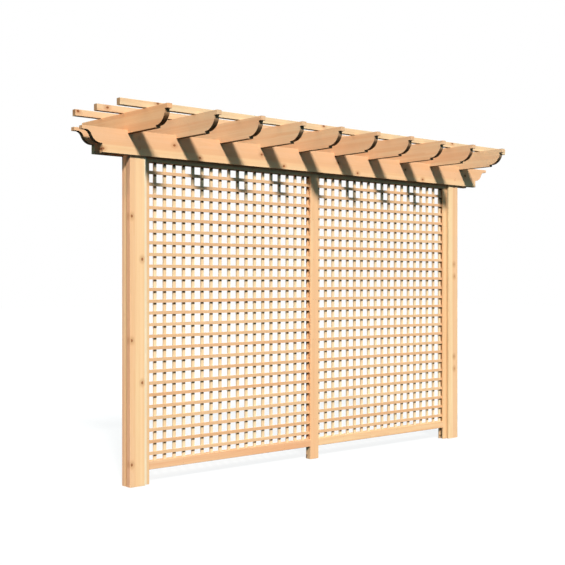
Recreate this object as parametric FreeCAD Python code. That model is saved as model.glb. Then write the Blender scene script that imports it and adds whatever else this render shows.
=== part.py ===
import FreeCAD, Part
import os

os.makedirs("parts", exist_ok=True)

# A free-standing cedar pergola wall. Two built-up posts carry a pair of long beams, the beams carry
# notched rafters, and the rafters carry slender purlins. A lattice screen fills the space between the
# posts. It is clamped between a front and a rear layer of thin trim.
# Millimetres. X runs along the wall, Y from front (-Y) to rear, Z up. The origin is on the ground, under
# the middle of the wall.

# Posts: a front board, a core and a rear board
post_span = 3083.0          # clear width between the posts
post_width = 120.0
post_board_thick = 38.1
core_set_back = 3.0         # the core stops short of the outer side, which leaves a shadow line

# Lattice: level crossbars in front of upright slats
slat_width = 22.0
slat_thick = 12.0
slat_pitch = 78.8
upright_datum = -14.0       # centre of the slat nearest the middle of the wall
crossbar_datum = 122.0      # centre of the lowest crossbar, above the ground
lattice_play = 2.0          # free space at the ends of the slats

# Trim that frames and clamps the lattice
trim_thick = 15.0
jamb_width = 45.5
mullion_width = 82.0
rail_height = 55.0
bottom_rail_lift = 97.0     # ground to the underside of the bottom rails
top_rail_show = 31.0        # height of the top rail that shows under the beams

# Beams
beam_under = 2189.0         # ground to the underside
beam_height = 161.0
beam_thick = 38.1
beam_proud = 20.5           # how far a beam stands out from the post's face
beam_overhang = 365.5       # past the outer side of a post
beam_toe_height = 59.0      # scroll-cut end, measured out and up from the lower corner
beam_ogee_out = 79.0
beam_ogee_height = 106.0
beam_ovolo_bulge = 15.0
beam_cove_out = 115.0
beam_cove_bulge = 6.5
beam_nose_out = 148.0
beam_nose_height = 23.0

# Rafters
rafter_height = 139.7
rafter_thick = 38.1
rafter_length = 1060.0
rafter_notch = 22.5         # depth of the notch over each beam
notch_play = 0.3            # free space on each side of a board in a notch
rafter_pitch = 368.4
inner_rafters_a_side = 4
end_rafter_out = 11.2       # end rafter's centre, past the outer side of the post
rafter_quirk = 15.0         # scroll-cut end, measured out and up from the lower corner
rafter_curve_out = 103.0
rafter_curve_height = 82.0
rafter_curve_bulge = 21.0
rafter_nose_out = 131.0
rafter_nose_height = 30.0

# Purlins
purlin_thick = 38.1
purlin_height = 44.0
purlin_notch = 3.0          # depth of the notch over each rafter
purlin_spacing = 282.0
purlin_reach_left = 218.0   # past the centre of the end rafter
purlin_reach_right = 327.5

# Fasteners
bolt_radius = 5.0
bolt_head_radius = 9.5      # centre to a corner of the hexagon
hexagon_sides = 6
bolt_head_height = 6.5
nut_height = 8.0
bolt_low = 48.0             # above the underside of the beams
bolt_high = 113.0
plug_radius = 12.0
plug_length = 8.0
plug_bore_depth = 18.0
fastener_play = 0.3         # free space round a fastener in its hole

edge_ease = 1.5             # small chamfer along the long edges of the boards
long_edge_count = 4         # a board has this many edges along its length

# Places that several pieces share
post_inner = post_span / 2
post_outer = post_inner + post_width
post_middle = (post_inner + post_outer) / 2
post_face = slat_thick + post_board_thick
trim_face = slat_thick + trim_thick
jamb_edge = post_inner - jamb_width
mullion_edge = mullion_width / 2
beam_outer = post_face + beam_proud
beam_inner = beam_outer - beam_thick
beam_middle = (beam_inner + beam_outer) / 2
beam_top = beam_under + beam_height
top_rail_under = beam_under - top_rail_show
frame_top = top_rail_under + rail_height
rafter_under = beam_top - rafter_notch
rafter_top = rafter_under + rafter_height
purlin_under = rafter_top - purlin_notch
purlin_top = purlin_under + purlin_height
end_rafter = post_outer + end_rafter_out

inner_places = [rafter_pitch * (n + 1 / 2) for n in range(inner_rafters_a_side)]
right_places = inner_places + [end_rafter]
rafter_places = [-x for x in reversed(right_places)] + right_places
purlin_places = {"front": -purlin_spacing, "middle": 0.0, "rear": purlin_spacing}
sides = {"left": -1, "right": 1}
layers = {"front": -1, "rear": 1}

V = FreeCAD.Vector
up = V(0, 0, 1)
rearward = V(0, 1, 0)


def box(x_ends, y_ends, z_ends):
    """A plain block between two values on each axis, given in either order."""
    low = V(min(x_ends), min(y_ends), min(z_ends))
    high = V(max(x_ends), max(y_ends), max(z_ends))
    size = high - low
    return Part.makeBox(size.x, size.y, size.z, low)


def eased(board):
    """The board with its long edges taken off by a small chamfer."""
    by_length = sorted(board.Edges, key=lambda edge: edge.Length)
    return board.makeChamfer(edge_ease, by_length[-long_edge_count:])


def stretch(start, end, bulge):
    """A straight line, or an arc that bulges to the right of its travel by the given height."""
    if bulge == 0:
        return Part.makeLine(start, end)
    chord = end - start
    outward = V(chord.y, -chord.x, 0).normalize()
    middle = (start + end) / 2 + outward * bulge
    return Part.Arc(start, middle, end).toShape()


def shaped_board(length, height, thick, nose_out, profile):
    """A board on edge, in its own frame: X along it, Y up, Z through it. Both ends have the same profile,
    a list of steps (out, up, bulge) from the lower corner to the upper one."""
    toe = length / 2 - nose_out
    point = V(toe, 0, 0)
    end_edges = []
    for out, rise, bulge in profile:
        next_point = V(toe + out, rise, 0)
        end_edges.append(stretch(point, next_point, bulge))
        point = next_point
    edges = end_edges + [edge.mirror(V(), V(1, 0, 0)) for edge in end_edges]
    edges.append(Part.makeLine(V(-toe, 0, 0), V(toe, 0, 0)))
    edges.append(Part.makeLine(V(-length / 2, height, 0), V(length / 2, height, 0)))
    outline = Part.Wire(Part.sortEdges(edges)[0])
    return Part.Face(outline).extrude(V(0, 0, thick))


def hexagon(radius, height, base, along):
    """A hexagonal prism that starts at base and runs in the direction along."""
    turns = [FreeCAD.Rotation(up, 360 / hexagon_sides * n) for n in range(hexagon_sides)]
    corners = [turn.multVec(V(radius, 0, 0)) for turn in turns]
    prism = Part.Face(Part.makePolygon(corners + corners[:1])).extrude(up * height)
    prism.Placement = FreeCAD.Placement(base, FreeCAD.Rotation(up, along))
    return prism


def post_board(side, layer):
    """One outer board of a post, cut back at the top so that a beam is let into its face."""
    x_ends = (side * post_inner, side * post_outer)
    board = eased(box(x_ends, (layer * slat_thick, layer * post_face), (0, rafter_under)))
    housing = box(x_ends, (layer * beam_inner, layer * post_face), (beam_under, rafter_under))
    return board.cut([housing] + bolt_holes(side))


def post_core(side):
    """The strip between the two boards of a post, as thick as the lattice."""
    x_ends = (side * post_inner, side * (post_outer - core_set_back))
    return box(x_ends, (-slat_thick, slat_thick), (0, rafter_under)).cut(bolt_holes(side))


def jamb(side, layer):
    """A side stile of the lattice frame, against the inner side of a post."""
    x_ends = (side * jamb_edge, side * post_inner)
    return eased(box(x_ends, (layer * slat_thick, layer * trim_face), (0, frame_top)))


def mullion(layer):
    """The middle stile of the lattice frame, from the ground to the top of the frame."""
    x_ends = (-mullion_edge, mullion_edge)
    return eased(box(x_ends, (layer * slat_thick, layer * trim_face), (0, frame_top)))


def mullion_foot():
    """The block that closes the foot of the middle stile, under the lattice."""
    return box((-mullion_edge, mullion_edge), (-slat_thick, slat_thick), (0, bottom_rail_lift))


def rail(side, layer, under):
    """A level rail of the lattice frame, between a side stile and the middle stile."""
    x_ends = (side * mullion_edge, side * jamb_edge)
    return eased(box(x_ends, (layer * slat_thick, layer * trim_face), (under, under + rail_height)))


def slat_centres(low, high, datum):
    """Every place on the slat pitch, counted from the datum, where a slat lies between low and high."""
    first = -((datum - slat_width / 2 - low) // slat_pitch)
    last = (high - slat_width / 2 - datum) // slat_pitch
    return [datum + slat_pitch * n for n in range(int(first), int(last) + 1)]


def slat_ends(centre):
    """The two edges of a slat about its centre line."""
    return (centre - slat_width / 2, centre + slat_width / 2)


def lattice_crossbars():
    """The level slats, in the front layer."""
    length = (-post_inner + lattice_play, post_inner - lattice_play)
    places = slat_centres(bottom_rail_lift, frame_top, crossbar_datum)
    return Part.makeCompound([box(length, (-slat_thick, 0), slat_ends(z)) for z in places])


def lattice_uprights():
    """The upright slats, in the rear layer."""
    length = (bottom_rail_lift + lattice_play, frame_top - lattice_play)
    places = slat_centres(-post_inner, post_inner, upright_datum)
    return Part.makeCompound([box(slat_ends(x), (0, slat_thick), length) for x in places])


def bolt_axes(side):
    """The points on the wall's middle plane where the bolts of one post cross it."""
    return [V(side * post_middle, 0, beam_under + rise) for rise in (bolt_low, bolt_high)]


def bolt_holes(side):
    """Clearance holes for the bolts of one post, with the wide bores that take their heads and plugs."""
    holes = []
    for axis in bolt_axes(side):
        start = axis - rearward * beam_outer
        end = axis + rearward * beam_outer
        holes.append(Part.makeCylinder(bolt_radius + fastener_play, 2 * beam_outer, start, rearward))
        holes.append(Part.makeCylinder(plug_radius, plug_bore_depth, start, rearward))
        holes.append(Part.makeCylinder(plug_radius, plug_bore_depth, end, -rearward))
    return holes


def beam(layer):
    """A long beam on edge, with scroll-cut ends."""
    nose_under = beam_height - beam_nose_height
    profile = [
        (0, beam_toe_height, 0),
        (beam_ogee_out, beam_ogee_height, beam_ovolo_bulge),
        (beam_cove_out, nose_under, -beam_cove_bulge),
        (beam_nose_out, nose_under, 0),
        (beam_nose_out, beam_height, 0),
    ]
    length = 2 * (post_outer + beam_overhang)
    board = eased(shaped_board(length, beam_height, beam_thick, beam_nose_out, profile))
    rear_face = beam_middle * layer + beam_thick / 2
    board.Placement = FreeCAD.Placement(V(0, rear_face, beam_under), FreeCAD.Rotation(V(1, 0, 0), 90))
    return board.cut(bolt_holes(sides["left"]) + bolt_holes(sides["right"]))


def rafter(x):
    """A rafter on edge, notched over both beams, with scroll-cut ends."""
    nose_under = rafter_height - rafter_nose_height
    profile = [
        (0, rafter_quirk, 0),
        (rafter_curve_out, rafter_curve_height, rafter_curve_bulge),
        (rafter_curve_out, nose_under, 0),
        (rafter_nose_out, nose_under, 0),
        (rafter_nose_out, rafter_height, 0),
    ]
    board = eased(shaped_board(rafter_length, rafter_height, rafter_thick, rafter_nose_out, profile))
    turn = FreeCAD.Rotation(V(1, 1, 1), 120)
    board.Placement = FreeCAD.Placement(V(x - rafter_thick / 2, 0, rafter_under), turn)
    notches = []
    for layer in layers.values():
        y_ends = (layer * (beam_inner - notch_play), layer * (beam_outer + notch_play))
        notches.append(box((x - rafter_thick, x + rafter_thick), y_ends, (rafter_under, beam_top)))
    return board.cut(notches)


def purlin(y):
    """A slender bar along the tops of the rafters, notched over each of them."""
    x_ends = (-end_rafter - purlin_reach_left, end_rafter + purlin_reach_right)
    y_ends = (y - purlin_thick / 2, y + purlin_thick / 2)
    bar = eased(box(x_ends, y_ends, (purlin_under, purlin_top)))
    reach = rafter_thick / 2 + notch_play
    notches = [box((x - reach, x + reach), y_ends, (purlin_under, rafter_top)) for x in rafter_places]
    return bar.cut(notches)


def bolt(axis):
    """A through bolt: a hexagonal head in the front bore and a shank that ends flush with the nut."""
    seat = axis - rearward * (beam_outer - plug_bore_depth)
    grip = 2 * (beam_outer - plug_bore_depth) + nut_height
    shank = Part.makeCylinder(bolt_radius, grip, seat, rearward)
    return shank.fuse(hexagon(bolt_head_radius, bolt_head_height, seat, -rearward)).removeSplitter()


def nut(axis):
    """The nut in the rear bore."""
    seat = axis + rearward * (beam_outer - plug_bore_depth)
    block = hexagon(bolt_head_radius, nut_height, seat, rearward)
    return block.cut(Part.makeCylinder(bolt_radius + fastener_play, nut_height, seat, rearward))


def plug(axis, layer):
    """A cedar plug that closes a bore, flush with the face of the beam."""
    face = axis + rearward * (layer * beam_outer)
    return Part.makeCylinder(plug_radius - fastener_play, plug_length, face, rearward * -layer)


pieces = {}
for side_name, side in sides.items():
    pieces[side_name + "_post_core"] = post_core(side)
    for layer_name, layer in layers.items():
        pieces[f"{side_name}_post_{layer_name}"] = post_board(side, layer)
        pieces[f"{side_name}_jamb_{layer_name}"] = jamb(side, layer)
        pieces[f"bottom_rail_{side_name}_{layer_name}"] = rail(side, layer, bottom_rail_lift)
        pieces[f"top_rail_{side_name}_{layer_name}"] = rail(side, layer, top_rail_under)

for layer_name, layer in layers.items():
    pieces["mullion_" + layer_name] = mullion(layer)
    pieces[layer_name + "_beam"] = beam(layer)
pieces["mullion_foot"] = mullion_foot()
pieces["lattice_crossbars"] = lattice_crossbars()
pieces["lattice_uprights"] = lattice_uprights()

for number, x in enumerate(rafter_places, start=1):
    pieces[f"rafter_{number:02d}"] = rafter(x)
for purlin_name, y in purlin_places.items():
    pieces["purlin_" + purlin_name] = purlin(y)

all_bolt_axes = [axis for side in sides.values() for axis in bolt_axes(side)]
pieces["beam_bolts"] = Part.makeCompound([bolt(axis) for axis in all_bolt_axes])
pieces["beam_nuts"] = Part.makeCompound([nut(axis) for axis in all_bolt_axes])
plugs = [plug(axis, layer) for axis in all_bolt_axes for layer in layers.values()]
pieces["bolt_plugs"] = Part.makeCompound(plugs)

for node, shape in pieces.items():
    shape.exportStep(f"parts/{node}.step")
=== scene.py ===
import math
import random

import bmesh
import bpy
from mathutils import Color, Matrix, Vector


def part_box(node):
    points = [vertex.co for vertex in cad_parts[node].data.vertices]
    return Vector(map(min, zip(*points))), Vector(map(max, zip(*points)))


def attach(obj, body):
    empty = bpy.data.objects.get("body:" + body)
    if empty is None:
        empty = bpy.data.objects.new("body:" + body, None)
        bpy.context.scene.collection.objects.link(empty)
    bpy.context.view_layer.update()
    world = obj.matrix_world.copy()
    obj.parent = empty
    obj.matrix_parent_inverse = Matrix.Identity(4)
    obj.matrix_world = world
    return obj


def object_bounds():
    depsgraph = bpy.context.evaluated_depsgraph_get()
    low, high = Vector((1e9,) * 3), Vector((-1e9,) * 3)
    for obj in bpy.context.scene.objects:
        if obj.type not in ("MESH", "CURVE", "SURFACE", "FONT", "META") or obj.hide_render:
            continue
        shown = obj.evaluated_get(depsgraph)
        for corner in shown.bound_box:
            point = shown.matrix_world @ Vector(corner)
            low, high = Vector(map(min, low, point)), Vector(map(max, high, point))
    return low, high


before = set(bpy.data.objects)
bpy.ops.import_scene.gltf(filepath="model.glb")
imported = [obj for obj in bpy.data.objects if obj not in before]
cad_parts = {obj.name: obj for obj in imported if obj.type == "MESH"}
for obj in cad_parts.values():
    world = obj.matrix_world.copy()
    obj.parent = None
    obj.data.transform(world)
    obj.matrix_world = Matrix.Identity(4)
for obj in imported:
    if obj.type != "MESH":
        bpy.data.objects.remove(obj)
cad_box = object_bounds()

# Axes of the shared frame: X runs along the wall, Y away from the camera, Z up
X, Y, Z = 0, 1, 2

# The photograph's camera, found from the corners of the timbers and almost level
photo_side = 565.0
focal_pixels = 1009.82
sensor_width = 36.0
camera_place = Vector((-5.2085, -5.754, 1.362))
camera_yaw = math.radians(40.463)
camera_pitch = math.radians(-0.088)
camera_far = 200.0

# Light: a sun from the upper left front, weaker ones from the left and low behind, the sky's fill
sun_travel = Vector((0.545, 1.0, -0.85))
sun_strength = 4.25
side_travel = Vector((0.80, 0.15, -0.90))
side_strength = 0.75
side_tint = (1.0, 0.76, 0.55)
rear_travel = Vector((-0.7, -1.0, -0.15))
rear_strength = 2.3
rear_tint = (1.0, 0.94, 0.86)
sun_spread = math.radians(7.0)
sun_tint = (1.0, 0.965, 0.92)
sky_fill = 0.42
sky_tint = (0.35, 0.78, 1.0, 1.0)
white = (1.0, 1.0, 1.0, 1.0)
floor_bounce = (0.01, 0.01, 0.01, 1.0)
floor_side = 80.0
floor_shadow_share = 0.16

# The lattice, repeated from the part: a width in metres and two counts
slat_width = 0.022
crossbar_count = 27
upright_count = 39

# Brads in the lattice and nails in the trim, in metres, and the share of its radius that a spot blurs
brad_radius = 0.0013
nail_pitch = 0.305
nail_off_middle = 0.0125
nail_radius = 0.0016
spot_blur = 0.2

# Painted shade and shadow behind the crossbars: lengths in metres, then shares and a slope
painted_shade_drop = 0.0135
painted_shadow_blur = 0.004
painted_shade_edge = (0.35, 0.60)
painted_shade_share = 0.9
painted_shadow_slope = 0.85

# Cedar: lengths in metres
ring_gap = 0.0042
ring_wobble = 0.030
pith_depth = 0.085
pith_stray = 0.06
seed_reach = 40.0
knot_core = (0.0035, 0.0075)
knot_halo = (0.006, 0.030)
knot_swell = 0.010
knot_ragged = 0.004
fibre_bump = 0.0006
edge_width = 0.004
nose_depth = 0.001

# Cedar: how fine each pattern is along, across and into a board, per metre, and octaves of detail
wobble_scale = (0.8, 5.0, 5.0)
streak_scale = (0.5, 30.0, 30.0)
hue_scale = (0.9, 11.0, 11.0)
fibre_scale = (16.0, 900.0, 900.0)
ragged_scale = (60.0, 160.0, 160.0)
plain_detail = 2.0
rich_detail = 3.0

# Cedar: how much of each pattern shows, as shares and powers
ring_sharpness = 2.2
knot_length = 0.75
knot_margin = 0.15
streak_range = (0.34, 0.68)
hue_range = (0.36, 0.64)
noise_middle = 0.5
start_shade = -0.1
slat_shade = 0.35
streak_shade = 0.42
ring_shade = 0.26
fibre_shade = 0.45
halo_share = 0.50
end_share = 0.75
worn_share = 0.35
# The share of painted shade on the sawn scrolls of the rafters' ends
painted_cut_shade = 0.6
tone_range = (0.96, 1.0)
board_chance = 0.3

# Cedar: roughness, relief and sheen
ring_rough = 0.3
rough_pattern = (0.2, 1.0)
rough_range = (0.70, 0.92)
ring_relief = 0.5
relief_strength = 0.6
cedar_sheen = 0.04

# How far a face looks along an axis: where it begins to count and where it counts fully
looks_end = (0.75, 0.95)
looks_side = (0.6, 0.9)
looks_cut = (0.15, 0.40)
looks_front = (-0.3, -0.6)
looks_left = (-0.6, -0.9)
looks_inward = (-0.6, -0.9)
looks_down = (-0.15, -0.55)

# Worn edges: how well the eased surface agrees with the flat one where wear begins and where it is
# full, and the samples that ease it
edge_agreement = (0.99, 0.80)
edge_samples = 4

# Zinc plate: patterns per metre, relief in metres, then shares
spangle_scale = 900.0
dull_scale = (300.0, 300.0, 300.0)
dull_detail = 4.0
spangle_bump = 0.0002
spangle_strength = 0.3
dull_tint_range = (0.3, 0.7)
dull_rough_pattern = (0.2, 0.8)
zinc_rough_range = (0.55, 0.32)

# Screws: a head's radius in metres, the points of its star, the way the slanting ones face, and
# how far up a purlin's rear side they sit, as a share of its height
screw_radius = 0.0052
screw_points = 6
screw_tilt = Vector((0.0, 1.0, 0.7))
purlin_screw_rise = 0.36

# The rings of a screw head, from its rim to the floor of its socket: each one's outline, the
# outline's scale and its height; the star's corners and the heights are shares of the radius
star_inner = 0.34
star_outer = 0.52
screw_rings = (
    ("round", 1.0, -0.10),
    ("round", 0.94, 0.10),
    ("star", 1.0, 0.22),
    ("star", 1.0, -0.05),
)

# Knots that the photograph shows, in metres: how often they repeat along the board, then each
# one's place along the grain and its distance from the board's middle line
seen_knots = {
    "front_beam": (0.765, ((-1.323, 0.011), (-1.111, -0.057))),
    "left_post_front": (0.820, ((0.149, -0.0465), (0.686, 0.0345))),
    "right_post_front": (0.800, ((0.601, 0.016), (0.707, 0.012))),
    "purlin_front": (1.450, ((-1.609, 0.014),)),
    "purlin_middle": (1.450, ((-1.8125, 0.004),)),
    "purlin_rear": (1.450, ((-1.8705, 0.010),)),
}
usual_knot_repeat = 1.1

# Boards that the photograph shows in two tones: from where to where across the face, in metres
# from its middle line, the usual wood turns to the other tone
seen_bands = {
    "peach": {
        "front_beam": (-0.034, -0.022),
        "rear_beam": (-0.034, -0.022),
        "left_post_front": (-0.012, -0.022),
        "right_post_front": (-0.010, 0.002),
    },
    "cream": {
        "left_post_front": (0.051, 0.055),
        "left_jamb_front": (0.006, 0.000),
    },
}


def colour(red, green, blue):
    """A colour read off a screen, from 0 to 255, as the linear values that shaders take."""
    shares = [value / 255 for value in (red, green, blue)]
    return (*Color(shares).from_srgb_to_scene_linear(), 1.0)


timber = {
    "pale": colour(253, 222, 174),
    "pink": colour(252, 211, 163),
    "peach": colour(245, 199, 155),
    "cream": colour(255, 246, 216),
    "dark": colour(240, 187, 135),
    "halo": colour(205, 146, 100),
    "knot": colour(160, 100, 62),
    "end": colour(240, 230, 216),
    # Painted shade, for faces that look down and for the sawn scrolls of the rafters' ends
    "under": colour(136, 138, 130),
    "worn": colour(250, 222, 182),
}

# Red, green and blue shares that a kind of board has of these tones; the first kind whose words
# are in the board's name counts
kind_shares = {
    "beam": (0.97, 0.92, 0.91),
    "plugs": (0.91, 0.73, 0.72),
    "rafter_01": (0.935, 0.76, 0.70),
    "rafter_10": (0.83, 0.83, 0.91),
    "rafter": (0.83, 0.755, 0.785),
    "purlin_front": (0.88, 0.89, 0.94),
    "purlin": (0.85, 0.79, 0.83),
    "crossbars": (0.88, 0.79, 0.79),
    "core": (0.84, 0.78, 0.70),
    "jamb": (0.93, 0.85, 0.81),
    "mullion": (0.97, 0.865, 0.835),
    "bottom_rail_left": (0.94, 0.77, 0.75),
    "rail": (0.95, 0.87, 0.85),
}

# Tones that boards with these words in their names have besides the usual ones or in their place;
# inside: painted shade on sides turned to the wall's middle; gap: painted shade on faces turned to its
# middle plane
own_tones = {
    "purlin": {"end": colour(178, 165, 150)},
    "post": {"side": colour(254, 237, 241)},
    "post_rear": {"gap": colour(203, 217, 203)},
    "post_front": {"inside": colour(218, 242, 244)},
    "right_post_front": {"knot": colour(205, 146, 104)},
    "front_beam": {"gap": colour(140, 140, 140)},
    "rafter": {"end": colour(255, 252, 250)},
}

# The uprights are of paler wood
sapwood = {
    **timber,
    "pale": colour(254, 229, 188),
    "pink": colour(253, 220, 178),
    "dark": colour(240, 196, 148),
}

# The colour of the painted shade and shadow behind the crossbars
painted_shade_tint = colour(104, 68, 40)
zinc_dull = colour(168, 170, 172)
zinc_bright = colour(206, 207, 205)
nail_hole = colour(150, 104, 70)


class Graph:
    """The nodes of one material or world, with a short call for each kind that the finishes use."""

    def __init__(self, owner):
        owner.use_nodes = True
        self.tree = owner.node_tree
        self.tree.nodes.clear()

    def add(self, kind, sockets, **settings):
        node = self.tree.nodes.new(kind)
        for name, value in settings.items():
            setattr(node, name, value)
        for socket, value in dict(sockets).items():
            self.feed(node.inputs[socket], value)
        return node

    def feed(self, socket, value):
        if isinstance(value, bpy.types.NodeSocket):
            self.tree.links.new(value, socket)
        else:
            socket.default_value = value

    def math(self, operation, *values):
        return self.add("ShaderNodeMath", enumerate(values), operation=operation).outputs[0]

    def vector(self, x, y, z):
        return self.add("ShaderNodeCombineXYZ", enumerate((x, y, z))).outputs[0]

    def parts(self, vector):
        return list(self.add("ShaderNodeSeparateXYZ", {0: vector}).outputs)

    def length(self, vector):
        return self.add("ShaderNodeVectorMath", {0: vector}, operation="LENGTH").outputs["Value"]

    def scaled(self, vector, sizes):
        sockets = {0: vector, 1: sizes}
        return self.add("ShaderNodeVectorMath", sockets, operation="MULTIPLY").outputs["Vector"]

    def noise(self, vector, detail=plain_detail):
        sockets = {"Vector": vector, "Scale": 1.0, "Detail": detail}
        return self.add("ShaderNodeTexNoise", sockets).outputs["Fac"]

    def chance(self, number):
        sockets = {"W": number}
        return self.add("ShaderNodeTexWhiteNoise", sockets, noise_dimensions="1D").outputs["Value"]

    def around(self, value, middle, repeat):
        """The distance from the nearest of the places that lie a repeat apart, one of them at middle."""
        return self.math("WRAP", self.math("SUBTRACT", value, middle), repeat / 2, -repeat / 2)

    def rise(self, value, low, high, start=0.0, end=1.0):
        """A smooth step from start to end as value goes from low to high."""
        sockets = {"Value": value, "From Min": low, "From Max": high, "To Min": start, "To Max": end}
        node = self.add("ShaderNodeMapRange", sockets, interpolation_type="SMOOTHSTEP")
        return node.outputs["Result"]

    def spot(self, off_along, off_across, radius):
        """1 inside a small round spot, 0 outside it."""
        distance = self.length(self.vector(off_along, off_across, 0.0))
        blur = radius * spot_blur
        return self.rise(distance, radius - blur, radius + blur, 1.0, 0.0)

    def mix(self, share, below, above, kind="MIX"):
        """A colour: below where share is 0, above where it is 1."""
        sockets = {0: share, 6: below, 7: above}
        return self.add("ShaderNodeMix", sockets, data_type="RGBA", blend_type=kind).outputs[2]


def object_place(paint):
    """The place of a point in the shared frame, as three numbers."""
    return paint.parts(paint.add("ShaderNodeTexCoord", {}).outputs["Object"])


def object_facing(paint):
    """The way that a face looks in the shared frame, as three numbers."""
    return paint.parts(paint.add("ShaderNodeTexCoord", {}).outputs["Normal"])


def across_axis(along, face):
    """The axis across a board whose grain and broad face have the other two."""
    return X + Y + Z - along - face


def board_axes(paint, node, along, face):
    """Distances along a board's grain, across its broad face and into it, from its middle line."""
    low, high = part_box(node)
    middle = (low + high) / 2
    across = across_axis(along, face)
    place = object_place(paint)
    return (
        place[along],
        paint.math("SUBTRACT", place[across], middle[across]),
        paint.math("SUBTRACT", place[face], middle[face]),
    )


def slat_row(node, across, count):
    """The first slat's middle line and the pitch of a row of slats."""
    low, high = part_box(node)
    return low[across] + slat_width / 2, (high[across] - low[across] - slat_width) / (count - 1)


def slat_axes(paint, node, along, count):
    """The same distances for a row of slats, each with grain of its own, and a chance per slat."""
    low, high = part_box(node)
    across = X + Z - along
    first, pitch = slat_row(node, across, count)
    place = object_place(paint)
    steps = paint.math("DIVIDE", paint.math("SUBTRACT", place[across], first), pitch)
    number = paint.math("ROUND", steps)
    chance = paint.chance(number)
    return (
        paint.math("MULTIPLY_ADD", chance, seed_reach, place[along]),
        paint.math("MULTIPLY", paint.math("SUBTRACT", steps, number), pitch),
        paint.math("SUBTRACT", place[Y], (low[Y] + high[Y]) / 2),
        chance,
    )


def knot_distance(paint, along, across, repeat, places):
    """How far a point is from the nearest knot; knots are drawn out along the grain."""
    nearest = None
    for knot_along, knot_across in places:
        off_along = paint.math("MULTIPLY", paint.around(along, knot_along, repeat), knot_length)
        off_across = paint.math("SUBTRACT", across, knot_across)
        distance = paint.length(paint.vector(off_along, off_across, 0.0))
        nearest = distance if nearest is None else paint.math("MINIMUM", nearest, distance)
    return nearest


def scroll_cut(paint, along, facing, low, high):
    """Painted shade on the sawn scrolls and steps of a board's ends; none on its outermost noses."""
    reach = paint.math("ABSOLUTE", paint.math("SUBTRACT", along, (low + high) / 2))
    nose = (high - low) / 2 - nose_depth
    behind = paint.rise(reach, nose - nose_depth, nose, 1.0, 0.0)
    cut = paint.rise(paint.math("ABSOLUTE", facing), *looks_cut, 0.0, painted_cut_shade)
    return paint.math("MULTIPLY", cut, behind)


def inward(paint, facing, axis):
    """1 on faces that look to the middle of the part along an axis, 0 on the others."""
    outward = paint.math("MULTIPLY", facing[axis], paint.math("SIGN", object_place(paint)[axis]))
    return paint.rise(outward, *looks_inward)


def knot_shares(paint, place, along, across, knots):
    """How far a point belongs to the core of a knot, and to the halo round it."""
    ragged = paint.noise(paint.scaled(place, ragged_scale))
    distance = knot_distance(paint, along, across, *knots)
    distance = paint.math("MULTIPLY_ADD", ragged, -knot_ragged, distance)
    return paint.rise(distance, *knot_core, 1.0, 0.0), paint.rise(distance, *knot_halo, 1.0, 0.0)


def growth_rings(paint, chance, place, across, depth, halo):
    """The dark wood of the rings round a pith that lies behind the broad face; knots swell them."""
    pith = (chance.uniform(-pith_stray, pith_stray), pith_depth * chance.choice((-1, 1)))
    out_across = paint.math("SUBTRACT", across, pith[0])
    out_depth = paint.math("SUBTRACT", depth, pith[1])
    radius = paint.length(paint.vector(out_across, out_depth, 0.0))
    wobble = paint.noise(paint.scaled(place, wobble_scale), rich_detail)
    radius = paint.math("MULTIPLY_ADD", wobble, ring_wobble, radius)
    if halo is not None:
        radius = paint.math("MULTIPLY_ADD", halo, knot_swell, radius)
    rings = paint.math("FRACT", paint.math("DIVIDE", radius, ring_gap))
    return paint.math("POWER", rings, ring_sharpness)


def bare_wood(paint, name, tones, place, across, shade):
    """The wood before its knots: a slow change of hue, the bands that the photograph shows, shade."""
    hue = paint.rise(paint.noise(paint.scaled(place, hue_scale)), *hue_range)
    tint = paint.mix(hue, tones["pale"], tones["pink"])
    for tone, boards in seen_bands.items():
        if name in boards:
            tint = paint.mix(paint.rise(across, *boards[name]), tint, tones[tone])
    return paint.mix(paint.math("MAXIMUM", shade, 0.0), tint, tones["dark"])


def face_tones(paint, tint, tones, along, face, wood_along, ends):
    """Tones by the way a face looks: end grain, narrow sides; painted shade on inner faces, undersides,
    cuts.
    """
    facing = object_facing(paint)
    end = paint.rise(paint.math("ABSOLUTE", facing[along]), *looks_end)
    tint = paint.mix(paint.math("MULTIPLY", end, end_share), tint, tones["end"], "MULTIPLY")
    if "side" in tones:
        side = paint.rise(paint.math("ABSOLUTE", facing[across_axis(along, face)]), *looks_side)
        tint = paint.mix(side, tint, tones["side"], "MULTIPLY")
    # Painted shade on sides turned to the middle of the wall and on faces turned to its middle plane
    for tone, axis in (("inside", X), ("gap", Y)):
        if tone in tones:
            tint = paint.mix(inward(paint, facing, axis), tint, tones[tone], "MULTIPLY")
    # Painted shade on faces that look down, and on the sawn scrolls of the rafters' ends
    painted_shade_mask = paint.rise(facing[Z], *looks_down)
    if ends:
        painted_shade_mask = paint.math("MAXIMUM", painted_shade_mask, scroll_cut(paint, wood_along, facing[along], *ends))
    return paint.mix(painted_shade_mask, tint, tones["under"], "MULTIPLY")


def worn_edges(paint, tint, worn):
    """Edges, where the surface turns within a short way, are rubbed paler."""
    flat = paint.add("ShaderNodeNewGeometry", {}).outputs["Normal"]
    eased = paint.add("ShaderNodeBevel", {"Radius": edge_width}, samples=edge_samples).outputs["Normal"]
    both = {0: flat, 1: eased}
    agree = paint.add("ShaderNodeVectorMath", both, operation="DOT_PRODUCT").outputs["Value"]
    edge = paint.rise(agree, *edge_agreement)
    return paint.mix(paint.math("MULTIPLY", edge, worn_share), tint, worn)


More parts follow.
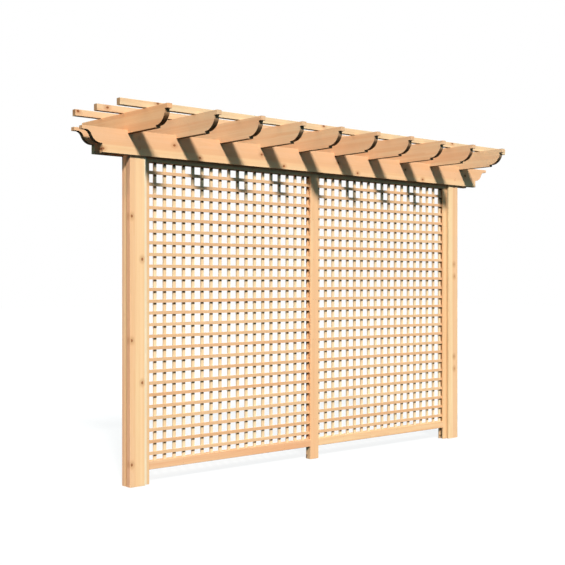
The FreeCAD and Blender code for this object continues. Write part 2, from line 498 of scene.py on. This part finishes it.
def cedar(name, axes_of, along, face, tones, knots=None, marks=(), ends=None):
    """Sawn cedar: growth rings round an offset pith, streaks, fibres, knots, end grain, worn edges."""
    material = bpy.data.materials.new("cedar_" + name)
    paint = Graph(material)
    chance = random.Random(name)
    wood_along, wood_across, wood_depth, slat_chance = axes_of(paint)
    shift = [chance.uniform(-seed_reach, seed_reach) for _ in range(3)]
    place = paint.vector(
        paint.math("ADD", wood_along, shift[0]),
        paint.math("ADD", wood_across, shift[1]),
        paint.math("ADD", wood_depth, shift[2]),
    )

    # Patterns: knots, rings, broad streaks and fine fibres
    core, halo = None, None
    if knots:
        core, halo = knot_shares(paint, place, wood_along, wood_across, knots)
    ring = growth_rings(paint, chance, place, wood_across, wood_depth, halo)
    streak = paint.rise(paint.noise(paint.scaled(place, streak_scale), rich_detail), *streak_range)
    fibre = paint.noise(paint.scaled(place, fibre_scale))

    shade = paint.math("MULTIPLY_ADD", slat_chance, slat_shade, start_shade)
    shade = paint.math("MULTIPLY_ADD", streak, streak_shade, shade)
    shade = paint.math("MULTIPLY_ADD", ring, ring_shade, shade)
    shade = paint.math("MULTIPLY_ADD", paint.math("SUBTRACT", fibre, noise_middle), fibre_shade, shade)
    tint = bare_wood(paint, name, tones, place, wood_across, shade)
    if knots:
        tint = paint.mix(paint.math("MULTIPLY", halo, halo_share), tint, tones["halo"])
        tint = paint.mix(core, tint, tones["knot"])
    tint = face_tones(paint, tint, tones, along, face, wood_along, ends)
    tint = worn_edges(paint, tint, tones["worn"])
    # Marks: nail holes and brads, and painted shade and shadow behind the crossbars
    for mark in marks:
        share, mark_tint = mark(paint, wood_along, wood_across)
        tint = paint.mix(share, tint, mark_tint)

    grain = paint.math("MULTIPLY_ADD", ring, ring_rough, fibre)
    relief = {
        "Strength": relief_strength,
        "Distance": fibre_bump,
        "Height": paint.math("MULTIPLY_ADD", ring, ring_relief, fibre),
    }
    shader = paint.add("ShaderNodeBsdfPrincipled", {
        "Base Color": tint,
        "Roughness": paint.rise(grain, *rough_pattern, *rough_range),
        "Normal": paint.add("ShaderNodeBump", relief).outputs["Normal"],
        "Specular IOR Level": cedar_sheen,
    })
    paint.add("ShaderNodeOutputMaterial", {"Surface": shader.outputs["BSDF"]})
    return material


def toned(tones, node):
    """The tones of one board: by its kind, and a little lighter or darker than its neighbours."""
    shares = next((shares for kind, shares in kind_shares.items() if kind in node), (1.0, 1.0, 1.0))
    strength = random.Random("tone " + node).uniform(*tone_range)
    return {
        name: (*[value * share * strength for value, share in zip(tone, shares)], 1.0)
        for name, tone in tones.items()
    }


def random_knots(node, along, face):
    """A pair of knots somewhere on a board whose knots the photograph doesn't show."""
    chance = random.Random("knots " + node)
    low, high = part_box(node)
    across = across_axis(along, face)
    reach = (high[across] - low[across]) * (0.5 - knot_margin)
    spread = [chance.uniform(0.0, usual_knot_repeat) for _ in range(2)]
    return usual_knot_repeat, [(start, chance.uniform(-reach, reach)) for start in spread]


def nail_spots(paint, along, across):
    """Two rows of small filled nail holes along a piece of trim."""
    off_along = paint.around(along, 0.0, nail_pitch)
    off_across = paint.math("SUBTRACT", paint.math("ABSOLUTE", across), nail_off_middle)
    return paint.spot(off_along, off_across, nail_radius), nail_hole


def brad_spots(paint, along, across):
    """A flush brad where a crossbar lies on each upright."""
    first, pitch = slat_row("lattice_uprights", X, upright_count)
    off_along = paint.around(object_place(paint)[X], first, pitch)
    return paint.spot(off_along, across, brad_radius), zinc_dull


def rain_stain(paint, along, across):
    """Painted shade on the front of what lies behind the crossbars, close below each of them."""
    first, pitch = slat_row("lattice_crossbars", Z, crossbar_count)
    middle = first - (slat_width + painted_shade_drop) / 2
    off = paint.math("ABSOLUTE", paint.around(object_place(paint)[Z], middle, pitch))
    front = paint.rise(object_facing(paint)[Y], *looks_front)
    near, far = (painted_shade_drop * edge for edge in painted_shade_edge)
    share = paint.rise(off, near, far, painted_shade_share, 0.0)
    return paint.math("MULTIPLY", share, front), painted_shade_tint


def drip_stain(paint, along, across):
    """Painted shadow of the crossbars on the left side of what lies behind them, lower towards the rear.
    """
    first, pitch = slat_row("lattice_crossbars", Z, crossbar_count)
    place = object_place(paint)
    below = paint.math("WRAP", paint.math("SUBTRACT", first - slat_width / 2, place[Z]), pitch, 0.0)
    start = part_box("lattice_crossbars")[0][Y]
    reach = paint.math("MULTIPLY", paint.math("SUBTRACT", place[Y], start), painted_shadow_slope)
    left = paint.rise(object_facing(paint)[X], *looks_left)
    share = paint.rise(paint.math("SUBTRACT", below, reach), -painted_shadow_blur, painted_shadow_blur, painted_shade_share, 0.0)
    return paint.math("MULTIPLY", share, left), painted_shade_tint


def wear(node, finish):
    """Gives a node of the frame its finish."""
    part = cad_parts[node]
    part.data.materials.clear()
    part.data.materials.append(finish)


def dress_board(node, along, face, marks=()):
    """One board of cedar with its own grain and tone."""
    tones = toned(timber, node)
    for kind, own in own_tones.items():
        if kind in node:
            tones.update(own)
    ends = [corner[along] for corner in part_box(node)] if "rafter" in node else None
    knots = seen_knots.get(node)
    if "post" in node or "beam" in node:
        knots = knots or random_knots(node, along, face)

    def axes_of(paint):
        return *board_axes(paint, node, along, face), board_chance

    wear(node, cedar(node, axes_of, along, face, tones, knots, marks, ends))


def dress_slats(node, along, count, tones, mark):
    """A row of slats in one finish, in which each slat has its own grain and tone."""
    def axes_of(paint):
        return slat_axes(paint, node, along, count)

    wear(node, cedar(node, axes_of, along, Y, toned(tones, node), None, [mark]))


def zinc():
    """Zinc plate: a pale spangle with a little dulling."""
    material = bpy.data.materials.new("zinc_plate")
    paint = Graph(material)
    place = paint.add("ShaderNodeTexCoord", {}).outputs["Object"]
    cells = {"Vector": place, "Scale": spangle_scale}
    relief = {
        "Strength": spangle_strength,
        "Distance": spangle_bump,
        "Height": paint.add("ShaderNodeTexVoronoi", cells).outputs["Distance"],
    }
    dull = paint.noise(paint.scaled(place, dull_scale), dull_detail)
    shader = paint.add("ShaderNodeBsdfPrincipled", {
        "Base Color": paint.mix(paint.rise(dull, *dull_tint_range), zinc_dull, zinc_bright),
        "Metallic": 1.0,
        "Roughness": paint.rise(dull, *dull_rough_pattern, *zinc_rough_range),
        "Normal": paint.add("ShaderNodeBump", relief).outputs["Normal"],
    })
    paint.add("ShaderNodeOutputMaterial", {"Surface": shader.outputs["BSDF"]})
    return material


def dress_frame(zinc_plate):
    """Gives each node its finish, by which way its grain runs."""
    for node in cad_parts:
        if node in ("beam_bolts", "beam_nuts"):
            wear(node, zinc_plate)
        elif node == "lattice_crossbars":
            dress_slats(node, X, crossbar_count, timber, brad_spots)
        elif node == "lattice_uprights":
            # Painted shade on the uprights, close below each crossbar
            dress_slats(node, Z, upright_count, sapwood, rain_stain)
        elif node.startswith("rafter"):
            dress_board(node, Y, X)
        elif "rail" in node:
            dress_board(node, X, Y, [nail_spots])
        # The rear trim gets painted shade below each crossbar, and the rear mullion painted shadow on
        # its left side
        elif node == "mullion_rear":
            dress_board(node, Z, Y, [nail_spots, rain_stain, drip_stain])
        elif node.endswith("jamb_rear"):
            dress_board(node, Z, Y, [nail_spots, rain_stain])
        elif "jamb" in node or "mullion" in node:
            dress_board(node, Z, Y, [nail_spots])
        elif "post" in node:
            dress_board(node, Z, Y)
        else:
            dress_board(node, X, Y)


def screw_head(shape, place, outward):
    """A low domed screw head with a star-shaped socket, its rim let into the wood."""
    turn = outward.to_track_quat("Z", "Y").to_matrix().to_4x4()
    spin = Matrix.Rotation(random.Random(str(place)).uniform(0.0, math.tau), 4, "Z")
    frame_of_head = Matrix.Translation(place) @ turn @ spin
    count = 2 * screw_points
    outlines = {
        "round": [1.0] * count,
        "star": [star_outer if step % 2 else star_inner for step in range(count)],
    }
    rings = []
    for outline, scale, height in screw_rings:
        ring = []
        for step, share in enumerate(outlines[outline]):
            angle = math.tau * step / count
            out = screw_radius * share * scale
            corner = Vector((out * math.cos(angle), out * math.sin(angle), screw_radius * height))
            ring.append(shape.verts.new(frame_of_head @ corner))
        rings.append(ring)
    for below, above in zip(rings, rings[1:]):
        for step in range(count):
            after = (step + 1) % count
            shape.faces.new((below[step], below[after], above[after], above[step]))
    shape.faces.new(rings[-1])
    shape.faces.new(reversed(rings[0]))


def add_screws(name, heads, finish):
    """One piece that holds a group of screw heads, each given by its place and the way it faces."""
    mesh = bpy.data.meshes.new(name)
    shape = bmesh.new()
    for place, outward in heads:
        screw_head(shape, place, outward)
    shape.to_mesh(mesh)
    shape.free()
    mesh.materials.append(finish)
    piece = bpy.data.objects.new(name, mesh)
    bpy.context.scene.collection.objects.link(piece)
    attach(piece, "root")


def drive_screws(finish):
    """Screws down through each rafter into both beams, and at a slant through each purlin."""
    rafters = [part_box(node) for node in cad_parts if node.startswith("rafter")]
    beams = [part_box(layer + "_beam") for layer in ("front", "rear")]
    purlins = [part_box("purlin_" + row) for row in ("front", "middle", "rear")]
    upward = Vector((0.0, 0.0, 1.0))
    down_heads = []
    slant_heads = []
    for low, high in rafters:
        middle = (low[X] + high[X]) / 2
        for beam_low, beam_high in beams:
            down_heads.append((Vector((middle, (beam_low[Y] + beam_high[Y]) / 2, high[Z])), upward))
        for bar_low, bar_high in purlins:
            rise = bar_low[Z] + (bar_high[Z] - bar_low[Z]) * purlin_screw_rise
            slant_heads.append((Vector((middle, bar_high[Y], rise)), screw_tilt))
    add_screws("rafter_screws", down_heads, finish)
    add_screws("purlin_screws", slant_heads, finish)


def seen_rays(paint):
    """1 for the rays that show the background: the camera's, and those in metal or glass."""
    path = paint.add("ShaderNodeLightPath", {}).outputs
    direct = paint.math("MAXIMUM", path["Is Camera Ray"], path["Is Glossy Ray"])
    return paint.math("MAXIMUM", direct, path["Is Transmission Ray"])


def lay_floor():
    """A plain floor: white to the camera but for the shadow on it, and a faint bounce to the part."""
    material = bpy.data.materials.new("floor")
    paint = Graph(material)
    bounce = paint.add("ShaderNodeBsdfDiffuse", {"Color": floor_bounce}).outputs[0]
    shown = paint.add("ShaderNodeBsdfDiffuse", {"Color": white}).outputs[0]
    glow = paint.add("ShaderNodeEmission", {"Color": white, "Strength": 1.0}).outputs[0]
    pale = paint.add("ShaderNodeMixShader", {0: floor_shadow_share, 1: glow, 2: shown}).outputs[0]
    both = paint.add("ShaderNodeMixShader", {0: seen_rays(paint), 1: bounce, 2: pale}).outputs[0]
    paint.add("ShaderNodeOutputMaterial", {"Surface": both})
    mesh = bpy.data.meshes.new("floor")
    shape = bmesh.new()
    bmesh.ops.create_grid(shape, x_segments=1, y_segments=1, size=floor_side / 2)
    shape.to_mesh(mesh)
    shape.free()
    mesh.materials.append(material)
    floor = bpy.data.objects.new("floor", mesh)
    floor.location.z = cad_box[0].z
    bpy.context.scene.collection.objects.link(floor)


def linked(name, pieces, state):
    """A group of pieces for a light's links: left out with EXCLUDE, the only ones with INCLUDE."""
    group = bpy.data.collections.new(name)
    for piece in pieces:
        group.objects.link(piece)
    for item in group.collection_objects:
        item.light_linking.link_state = state
    return group


def add_sun(name, travel, strength, tint, clear=(), unlit=(), lit=()):
    """A sun that shines through the clear pieces, and past the unlit ones or only on the lit ones."""
    lamp = bpy.data.lights.new(name, "SUN")
    lamp.energy = strength
    lamp.angle = sun_spread
    lamp.color = tint
    sun = bpy.data.objects.new(name, lamp)
    sun.rotation_euler = travel.to_track_quat("-Z", "Y").to_euler()
    bpy.context.scene.collection.objects.link(sun)
    if clear:
        sun.light_linking.blocker_collection = linked(name + "_clear", clear, "EXCLUDE")
    if unlit:
        sun.light_linking.receiver_collection = linked(name + "_unlit", unlit, "EXCLUDE")
    if lit:
        sun.light_linking.receiver_collection = linked(name + "_lit", lit, "INCLUDE")


def named(word):
    """The parts whose names have this word in them."""
    return [part for node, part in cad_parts.items() if word in node]


def light_part():
    """The lights. As in the photograph the purlins throw no shadow, and the rafters throw none on
    the fronts of the posts."""
    purlins = named("purlin")
    posts = named("post_front")
    add_sun("sun", sun_travel, sun_strength, sun_tint, clear=purlins, unlit=posts)
    add_sun("post_sun", sun_travel, sun_strength, sun_tint, clear=purlins + named("rafter"), lit=posts)
    add_sun("side_sun", side_travel, side_strength, side_tint, clear=purlins, unlit=named("_beam"))
    add_sun("rear_sun", rear_travel, rear_strength, rear_tint)


def fill_sky():
    """A sky that fills the shade a little and shows white behind the part."""
    world = bpy.data.worlds.new("sky")
    bpy.context.scene.world = world
    paint = Graph(world)
    fill = paint.add("ShaderNodeBackground", {"Color": sky_tint, "Strength": sky_fill}).outputs[0]
    shown = paint.add("ShaderNodeBackground", {"Color": white, "Strength": 1.0}).outputs[0]
    both = paint.add("ShaderNodeMixShader", {0: seen_rays(paint), 1: fill, 2: shown}).outputs[0]
    paint.add("ShaderNodeOutputWorld", {"Surface": both})


def set_camera():
    """The photograph's camera."""
    lens = bpy.data.cameras.new("camera")
    lens.sensor_width = sensor_width
    lens.lens = focal_pixels / photo_side * sensor_width
    lens.clip_end = camera_far
    camera = bpy.data.objects.new("camera", lens)
    camera.location = camera_place
    camera.rotation_euler = (math.pi / 2 + camera_pitch, 0.0, -camera_yaw)
    bpy.context.scene.collection.objects.link(camera)
    bpy.context.scene.camera = camera


zinc_plate = zinc()
dress_frame(zinc_plate)
drive_screws(zinc_plate)
lay_floor()
light_part()
fill_sky()
set_camera()
bpy.context.scene.view_settings.view_transform = "Standard"
